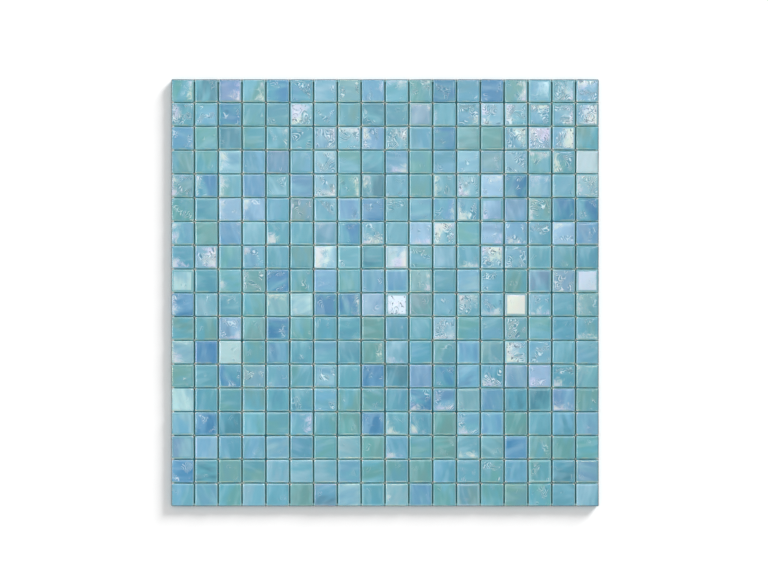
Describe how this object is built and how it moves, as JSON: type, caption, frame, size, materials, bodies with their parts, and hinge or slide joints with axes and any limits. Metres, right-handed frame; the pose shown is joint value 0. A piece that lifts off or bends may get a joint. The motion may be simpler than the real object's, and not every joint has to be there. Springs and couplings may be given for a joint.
{
  "type": "mosaic tile sheet",
  "caption": "Square mosaic sheet of small rippled blue-green cast-glass tiles with open joints, held in rows on a thin glued glass-fibre net, ready to bed on a wall and grout.",
  "frame": {"origin": "middle of the sheet's back, on the surface that it lies on", "axes": "+Z out of the tiles' faces, +X along the rows, +Y from the last row to row 01"},
  "size_m": [0.2952, 0.2948, 0.0044],
  "materials": {
    "cast_glass": "fire-polished rippled face with a pearly lustre",
    "glass_fibre_net": "open woven yarns stiffened with dried glue"
  },
  "bodies": {
    "root": {"tile_row_01": "cast_glass", "tile_row_02": "cast_glass", "tile_row_03": "cast_glass", "tile_row_04": "cast_glass", "tile_row_05": "cast_glass", "tile_row_06": "cast_glass", "tile_row_07": "cast_glass", "tile_row_08": "cast_glass", "tile_row_09": "cast_glass", "tile_row_10": "cast_glass", "tile_row_11": "cast_glass", "tile_row_12": "cast_glass", "tile_row_13": "cast_glass", "tile_row_14": "cast_glass", "tile_row_15": "cast_glass", "tile_row_16": "cast_glass", "tile_row_17": "cast_glass", "tile_row_18": "cast_glass", "backing_net": "glass_fibre_net"}
  },
  "joints": []
}
